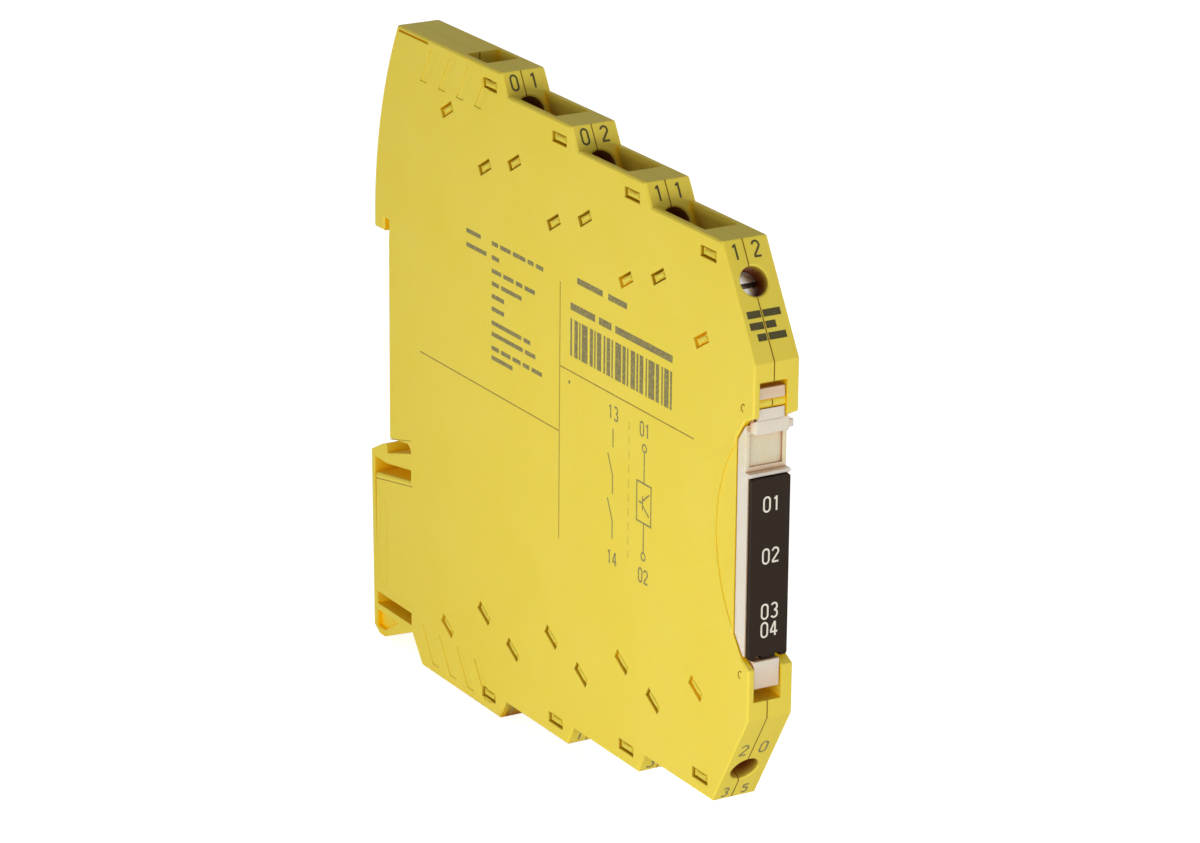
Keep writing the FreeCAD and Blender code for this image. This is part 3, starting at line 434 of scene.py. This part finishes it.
def digit_strokes():
    """Each digit as open strokes in a box one unit high and half a unit wide, about its middle."""
    top = bend((0, 0.25), (0.23, 0.25), 0, 180)
    foot = bend((0, -0.25), (0.23, 0.25), 180, 180)
    hook = bend((0, 0.26), (0.23, 0.24), 170, -205)
    return {
        "0": [np.concatenate([top, foot, top[:1]])],
        "1": [[(-0.16, 0.3), (0.0, 0.44)], [(0.02, 0.5), (0.02, -0.5)]],
        "2": [np.concatenate([hook, [(-0.22, -0.4)]]), [(-0.25, -0.45), (0.25, -0.45)]],
        "3": [bend((0, 0.26), (0.22, 0.24), 150, -240), bend((0, -0.24), (0.24, 0.26), 90, -240)],
        "4": [[(0.1, -0.5), (0.1, 0.5)], [(0.06, 0.48), (-0.24, -0.16)],
              [(-0.28, -0.22), (0.28, -0.22)]],
        "5": [[(0.22, 0.45), (-0.18, 0.45), (-0.2, 0.08)],
              bend((0, -0.18), (0.23, 0.3), 125, -265)],
    }


DIGITS = digit_strokes()
DIGIT_PITCH = 0.72      # from one digit to the next, as a share of their height


def numeral(text, centre, height, stroke):
    """Digits drawn with one width of stroke and set about a centre."""
    marks = []
    for place, digit in enumerate(text):
        shift = np.array(((place - (len(text) - 1) / 2) * DIGIT_PITCH, 0))
        for path in DIGITS[digit]:
            marks.append(ribbon((np.array(path) + shift) * height + centre, stroke))
    return marks


def add_piece(name, corners, faces, finish, body, wall=None):
    """One piece from its corners and faces; a wall is the thickness that its faces get, and how
    much of it lies outward: 0 half and half, -1 all inward."""
    mesh = bpy.data.meshes.new(name)
    mesh.from_pydata((corners * MM).tolist(), [], faces)
    piece = bpy.data.objects.new(name, mesh)
    bpy.context.collection.objects.link(piece)
    if wall:
        solid = piece.modifiers.new("wall", "SOLIDIFY")
        solid.thickness, solid.offset = wall[0] * MM, wall[1]
    mesh.materials.append(finish)
    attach(piece, body)
    return piece


def printed(name, plane, marks, finish, body="housing"):
    """One thin film made of several flat marks on a face: print, and for the latch's slits painted
    shade.
    """
    corners, faces, count = [], [], 0
    for number, (flat, shapes) in enumerate(marks):
        corners.append(plane.lay(flat) + plane.outward * (number % FILM_STEPS) * FILM_STEP)
        faces += [[index + count for index in shape] for shape in shapes]
        count += len(flat)
    add_piece(name, np.concatenate(corners), faces, finish, body, wall=(INK_FILM, 0))


def bead(name, path, radius, finish, closed=True, sides=8):
    """A round bead on the side: a circle of the radius carried along a flat path, half sunk."""
    points = SIDE.lay(path)
    if closed:
        along = np.roll(points, -1, 0) - np.roll(points, 1, 0)
    else:
        along = np.gradient(points, axis=0)
    along /= np.linalg.norm(along, axis=1)[:, None]
    across = np.cross(along, SIDE.outward)
    angle = np.arange(sides) / sides * 2 * math.pi
    spokes = (np.cos(angle)[None, :, None] * across[:, None]
              + np.sin(angle)[None, :, None] * SIDE.outward)
    rings = points[:, None] + radius * spokes
    count = len(points)
    row = np.arange(count if closed else count - 1)[:, None]
    after = (row + 1) % count
    column = np.arange(sides)[None, :]
    beside = (column + 1) % sides
    quads = np.stack([row * sides + column, after * sides + column,
                      after * sides + beside, row * sides + beside], 2).reshape(-1, 4).tolist()
    if not closed:
        end = (count - 1) * sides
        quads += [list(range(sides)), list(range(end + sides - 1, end - 1, -1))]
    piece = add_piece(name, rings.reshape(-1, 3), quads, finish, "housing")
    piece.data.shade_smooth()


# ---- printing on the side, and painted shade in the latch's slits --------------------
# On the left side face u runs backward from the front, as -Y does, and v runs up.

SIDE = Plane((SIDE_X, 0, 0), (0, -1, 0), (0, 0, 1))
RULE = 0.18                                 # width of the rules
SYMBOL = 0.24                               # width of the diagram's lines
DIGIT_STROKE = 0.26                         # width of the side numbers' lines
STRIP_LOW, STRIP_HIGH = (51.2, 12.3), (77.2, 17.5)
STRIPES = (0.45, 0.9, 0.35, 1.5, 0.8, 0.35, 1.1)
STRIPE_GAP, WIDE_GAP = 0.35, 0.6            # every third gap is the wide one
PRINT_HEIGHT = 0.62
CONTACTS, INPUT = 62.5, 70.5                # u of the diagram's two columns
DIAGRAM_TOP, DIAGRAM_FOOT = 7.6, -12.7      # v of the numbers above and below them
PARTING, DASH = 66.5, 1.1                   # u of the dashes between them, and their length


def side_rules():
    """Two horizontal rules and the upright one between them."""
    return [bar((9.4, 0.75), (48.4, 0.75 + RULE)), bar((48.35, -14.5), (48.35 + RULE, 21.8)),
            bar((48.5, 10.0), (82.6, 10.0 + RULE))]


def stripes():
    """A strip of upright bars whose widths repeat a short count."""
    (at, foot), (last, top) = STRIP_LOW, STRIP_HIGH
    marks = []
    while at < last:
        width = STRIPES[len(marks) % len(STRIPES)]
        gap = STRIPE_GAP if len(marks) % 3 else WIDE_GAP
        marks.append(bar((at, foot), (at + width, top)))
        at += width + gap
    return marks


def dashes(start, base, height, lengths, gap=0.6):
    """A row of short plain bars that stands where small print would."""
    marks, at = [], start
    for length in lengths:
        marks.append(bar((at, base), (at + length, base + height)))
        at += length + gap
    return marks


def small_rows():
    """Rows of dashes, each given by its start, its base and its dashes' lengths."""
    rows = [
        (22.8, 21.9, (4.0,)), (29.9, 21.9, (1.7, 2.9, 3.4, 1.6, 2.0)),
        (22.8, 19.9, (5.6,)), (29.9, 19.9, (2.0,)),
        (29.9, 18.0, (2.6, 2.8, 1.8, 2.8)), (29.9, 16.2, (2.0, 5.6)),
        (29.9, 14.4, (3.4,)), (29.9, 12.6, (3.4,)),
        (29.9, 10.6, (8.2, 1.8)), (29.9, 9.0, (8.6, 2.8)),
        (29.9, 7.0, (2.0, 2.6, 2.2, 1.8, 2.8)), (29.9, 5.6, (5.8,)),
    ]
    marks = []
    for start, base, lengths in rows:
        marks += dashes(start, base, PRINT_HEIGHT, lengths)
    marks += dashes(52.9, 22.7, 0.85, (6.6, 4.8), 1.4)
    return marks + dashes(51.2, 18.7, 1.0, (6.4, 3.2, 14.4), 1.0)


def contact_symbol():
    """Two contacts in a row, each a stub and a slanted blade."""
    marks = [ribbon([(CONTACTS, 5.4), (CONTACTS, 2.8)], SYMBOL)]
    for top in (1.7, -4.6):
        blade = [(CONTACTS - 1.3, top), (CONTACTS, top - 2.9), (CONTACTS, top - 5.4)]
        marks.append(ribbon(blade, SYMBOL))
    return marks


def input_symbol():
    """A boxed switching symbol between two terminals."""
    box = [(68.7, 0.2), (72.3, 0.2), (72.3, -5.3), (68.7, -5.3)]
    leads = [[(INPUT, 4.5), (INPUT, 0.2)], [(INPUT, -5.3), (INPUT, -9.4)]]
    switch = [[(69.2, -2.6), (70.2, -2.6)], [(70.2, -1.6), (70.2, -3.6)],
              [(70.2, -2.3), (71.8, -1.0)], [(70.2, -2.9), (71.8, -4.1)]]
    rings = [ribbon(circle((INPUT, end), 0.52), SYMBOL, closed=True) for end in (5.05, -9.95)]
    frame_line = ribbon(box, SYMBOL, closed=True)
    return (rings + [ribbon(lead, SYMBOL) for lead in leads] + [frame_line]
            + [ribbon(stroke, SYMBOL) for stroke in switch])


def parting_dashes():
    """An upright row of dashes between the diagram's two columns."""
    feet = np.arange(-11.5, 7.0, 2.0)
    return [bar((PARTING, foot), (PARTING + RULE, foot + DASH)) for foot in feet]


side_numbers = []
for column, pair in ((CONTACTS, ("13", "14")), (INPUT, ("01", "02"))):
    for text, row in zip(pair, (DIAGRAM_TOP, DIAGRAM_FOOT)):
        side_numbers += numeral(text, (column, row), 1.9, DIGIT_STROKE)
printed("side_rules", SIDE, side_rules(), RULE_INK)
printed("side_stripes", SIDE, stripes(), SIDE_INK)
printed("side_small_rows", SIDE, small_rows(), SIDE_INK)
printed("contact_symbol", SIDE, contact_symbol() + [disc((51.0, 8.5), 0.25)], SIDE_INK)
printed("input_symbol", SIDE, input_symbol(), SIDE_INK)
printed("parting_dashes", SIDE, parting_dashes(), FAINT_INK)
printed("side_numbers", SIDE, side_numbers, SIDE_INK)
# Painted shade: the latch's slits as thin dark amber lines.
printed("latch_slits", SIDE, [ribbon([(0.3, -15.0), (6.5, -13.4)], 0.1),
                              ribbon([(-4.0, -22.2), (6.9, -20.2)], 0.14)], PAINTED_SHADE_LINE)


# ---- printing on the marking faces and the label plate -------------------------------

def marking_plane(half, level):
    """The slanted face round a screw: u along +X, v up the slope, from the screw's own axis."""
    joint = JOINTS[f"screw_{half}_{level}_turn"]
    outward = -np.array(joint["axis"], float)
    return Plane(np.array(joint["pos_m"]) / MM, (1, 0, 0), np.cross(outward, (1, 0, 0)))


# Each face's rows of numerals: the place along the slope, the height, and the two digits.
NUMBERS = {
    "top": [[(4.0, 2.1, text)] for text in ("01", "02", "11", "12")],
    "bottom": [[(-4.0, 2.1, text)] for text in ("13", "14", "35")]
              + [[(-4.3, 1.7, "35"), (4.3, 2.1, "20")]],
}
LEFT_DIGIT, RIGHT_DIGIT = -1.55, 1.45       # either side of the seam
MARK_STROKE = 0.28
# Each row of bars: its foot along the slope, and its lengths left and right of the seam.
BAR_ROWS = ((-4.7, 2.0, 2.6), (-6.2, 2.0, 1.5), (-7.7, 1.3, 2.6))
BAR_HEIGHT = 0.95
SEAM_CLEAR = 0.16       # bare strip on each side of the seam


def number_marks():
    """Numerals either side of the seam: above the upper screws and below the lower ones, and
    on both sides of the foremost lower one."""
    for half, side in HALVES.items():
        for level, rows in enumerate(NUMBERS[half], 1):
            marks = []
            for row, height, (left, right) in rows:
                marks += numeral(left, (LEFT_DIGIT, row), height, MARK_STROKE)
                marks += numeral(right, (RIGHT_DIGIT, row), height, MARK_STROKE)
            finish = MARK_INK if side > 0 else SIDE_INK
            printed(f"numbers_{half}_{level}", marking_plane(half, level), marks, finish)


def face_bars():
    """Short plain bars in rows either side of the seam, below the foremost upper screw."""
    seam = SEAM_X - marking_plane("top", LEVELS).origin[0]
    left_end, right_end = seam - SEAM_CLEAR, seam + SEAM_CLEAR
    marks = []
    for base, left, right in BAR_ROWS:
        marks.append(bar((left_end - left, base), (left_end, base + BAR_HEIGHT)))
        marks.append(bar((right_end, base), (right_end + right, base + BAR_HEIGHT)))
    return marks


number_marks()
printed("face_bars", marking_plane("top", LEVELS), face_bars(), MARK_INK)
LABEL = Plane((0, PLATE_LOW[1], 0), (1, 0, 0), (0, 0, 1))
plate_marks = []
for text, row in (("01", 4.9), ("02", -2.1), ("03", -9.6), ("04", -12.1)):
    plate_marks += numeral(text, (0.1, row), 1.95, 0.25)
printed("plate_numbers", LABEL, plate_marks, PALE_INK, "front_cover")


# ---- small moulded lines -------------------------------------------------------------

HOLE_OFFSET = 5.61      # from a screw's axis, along the slope, to the edge of its step
HOOK_RECESS = 0.3       # the hooks' flat tops lie this far under the side face
PAD_RISE = 0.3          # a pad's middle over its rim
PAD_SINK = 0.04         # its rim under the hook's flat top
PAD_WIDTH = 0.84
PAD_WALL = 0.05
PAD_GRID = 9            # rows and columns of corners on a hook's top
# Each hook: how far behind and below that edge, its length, and whether it lies level.
SNAPS = ((3.0, 2.4, 2.9, True), (15.0, 8.67, 2.6, False), (4.4, 14.18, 2.6, False))


def stadium(centre, half_length, radius, count=12):
    """Two half circles joined by straight runs, upright."""
    cap = around(np.radians(np.linspace(0, 180, count))) * radius
    return np.concatenate([cap + (0, half_length), -cap - (0, half_length)]) + centre


def step_edge(half, level):
    """The y and z of a step's edge, and the direction in which its screw points."""
    joint = JOINTS[f"screw_{half}_{level}_turn"]
    inward = np.array(joint["axis"][1:])
    slope = np.array((-inward[1], inward[0])) * HALVES[half]
    return np.array(joint["pos_m"][1:]) / MM + slope * HOLE_OFFSET, inward


def hook_pads():
    """Rounded tops of the snap hooks: over u and v from -1 to 1 the height falls as
    1 - u^4 times 1 - v^2 towards the rim, and u runs along the hook."""
    reach = np.linspace(-1, 1, PAD_GRID)
    u, v = np.meshgrid(reach, reach, indexing="ij")
    height = (1 - u ** 4) * (1 - v ** 2) * PAD_RISE - PAD_SINK
    depth = (SIDE_X + HOOK_RECESS - height)[..., None]
    cell = np.arange(PAD_GRID - 1)
    corner = (cell[:, None] * PAD_GRID + cell).ravel()
    quads = np.stack([corner, corner + 1, corner + PAD_GRID + 1, corner + PAD_GRID], 1)
    verts, faces = [], []
    for half, side in HALVES.items():
        order = quads if side > 0 else quads[:, ::-1]
        for level in range(1, LEVELS + 1):
            edge, inward = step_edge(half, level)
            for behind, below, length, level_hook in SNAPS:
                along = np.array((1.0, 0.0)) if level_hook else inward
                across = np.array((-along[1], along[0])) * side
                centre = edge + (behind, -below * side)
                flat = (centre + u[..., None] * along * length / 2
                        + v[..., None] * across * PAD_WIDTH / 2)
                faces.append(order + len(verts) * u.size)
                verts.append(np.concatenate([depth, flat], 2).reshape(-1, 3))
    piece = add_piece("hook_pads", np.concatenate(verts), np.concatenate(faces).tolist(),
                      FINISHES["left_shell"], "housing", wall=(PAD_WALL, -1))
    piece.data.shade_smooth()


hook_pads()
bead("panel_bead", stadium((-1.75, -31.5), 5.4, 1.1), 0.06, FINISHES["foot_latch"])
# Painted shade: each pip is a dark amber crescent bead standing for the shade in a small round
# dimple.
for name, centre in (("upper_pip", (94.3, 17.7)), ("lower_pip", (94.8, -18.1))):
    bead(name, bend(centre, 0.5, 60, 200), 0.09, PAINTED_SHADE_LINE, closed=False)


# ---- studio --------------------------------------------------------------------------
# Lengths are in metres again, but for the lens and its sensor.

CAMERA_PLACE = Vector((-313.77, -582.24, 214.70)) * MM
CAMERA_TURN = (-30.68, 18.99, 0.54)     # azimuth, elevation and roll
LENS, SENSOR = 146.28, 36.0
# Each lamp: its place from the object's middle, its width and height, and its watts.
LAMPS = {
    "side_light": ((-0.8, -0.25, 0.02), (0.7, 0.4), 2.25),
    "front_light": ((0.08, -0.7, -0.01), (0.5, 0.06), 1.75),
    "fill_light": ((0.8, 0.3, 0.0), (0.6, 0.3), 2.2),
    "low_light": ((-0.15, -0.05, -0.025), (0.16, 0.035), 0.095),
}
WHITE = (1, 1, 1, 1)
SKY = 0.3                               # light of the surroundings
PAPER_GLOW = 0.8
FLOOR_DROP = 0.0001                     # the floor lies this far under the object
FLOOR_REACH = 6.0


def look_from(azimuth, elevation, roll):
    """Camera axes: the back vector from azimuth and elevation, turned about it by roll."""
    a, e, r = (math.radians(angle) for angle in (azimuth, elevation, roll))
    back = Vector((math.sin(a) * math.cos(e), -math.cos(a) * math.cos(e), math.sin(e)))
    right = Vector((0, 0, 1)).cross(back).normalized()
    up = back.cross(right)
    turned = right * math.cos(r) + up * math.sin(r)
    return Matrix((turned, back.cross(turned), back)).transposed()


def set_camera():
    """The camera at its place, looking along its turn."""
    camera = bpy.data.objects.new("camera", bpy.data.cameras.new("camera"))
    camera.data.lens = LENS
    camera.data.sensor_width = SENSOR
    camera.data.clip_start = 0.01
    turn = look_from(*CAMERA_TURN).to_4x4()
    camera.matrix_world = Matrix.Translation(CAMERA_PLACE) @ turn
    bpy.context.collection.objects.link(camera)
    bpy.context.scene.camera = camera


def softbox(name, place, target, size, power):
    """A rectangular lamp that faces its target."""
    light = bpy.data.lights.new(name, "AREA")
    light.shape = "RECTANGLE"
    light.size, light.size_y = size
    light.energy = power
    lamp = bpy.data.objects.new(name, light)
    lamp.location = place
    lamp.rotation_euler = (target - place).to_track_quat("-Z", "Y").to_euler()
    bpy.context.collection.objects.link(lamp)


def white_paper(name):
    """Matt paper under the shadow, lifted towards white for the camera and in reflections."""
    paper = Finish(name, Roughness=0.9)
    speck = paper.noise(600.0, 2.0).band(0.3, 0.7)
    paper.feed(Base_Color=paper.mix(speck, (0.84, 0.84, 0.84, 1), (0.82, 0.82, 0.82, 1)))
    strength = paper.backdrop_rays() * PAPER_GLOW
    shine = paper.node("ShaderNodeEmission", values={"Color": WHITE, "Strength": strength})
    both = paper.node("ShaderNodeAddShader", values=[shine, Wire(paper, paper.shader.outputs[0])])
    output = paper.tree.nodes["Material Output"]
    paper.link(output.inputs["Surface"], both)
    return paper.material


def surroundings():
    """A white world for the backdrop's rays, and SKY of that on the object."""
    world = bpy.data.worlds.new("studio")
    world.use_nodes = True
    sky = Board(world.node_tree)
    background = world.node_tree.nodes["Background"]
    sky.link(background.inputs["Color"], WHITE)
    sky.link(background.inputs["Strength"], sky.backdrop_rays() * (1 - SKY) + SKY)
    bpy.context.scene.world = world


def paper_floor():
    """A wide square just under the object."""
    low = CAD_BOX[0][2] - FLOOR_DROP
    square = ((-1, -1), (1, -1), (1, 1), (-1, 1))
    mesh = bpy.data.meshes.new("floor")
    corners = [(x * FLOOR_REACH, y * FLOOR_REACH, low) for x, y in square]
    mesh.from_pydata(corners, [], [(0, 1, 2, 3)])
    floor = bpy.data.objects.new("floor", mesh)
    bpy.context.collection.objects.link(floor)
    mesh.materials.append(white_paper("floor_paper"))


def studio():
    """Soft lamps about the object's middle, a white world and a paper floor."""
    middle = (Vector(CAD_BOX[0]) + Vector(CAD_BOX[1])) / 2
    for name, (offset, size, power) in LAMPS.items():
        softbox(name, middle + Vector(offset), middle, size, power)
    surroundings()
    paper_floor()


set_camera()
studio()
bpy.context.scene.view_settings.view_transform = "Standard"
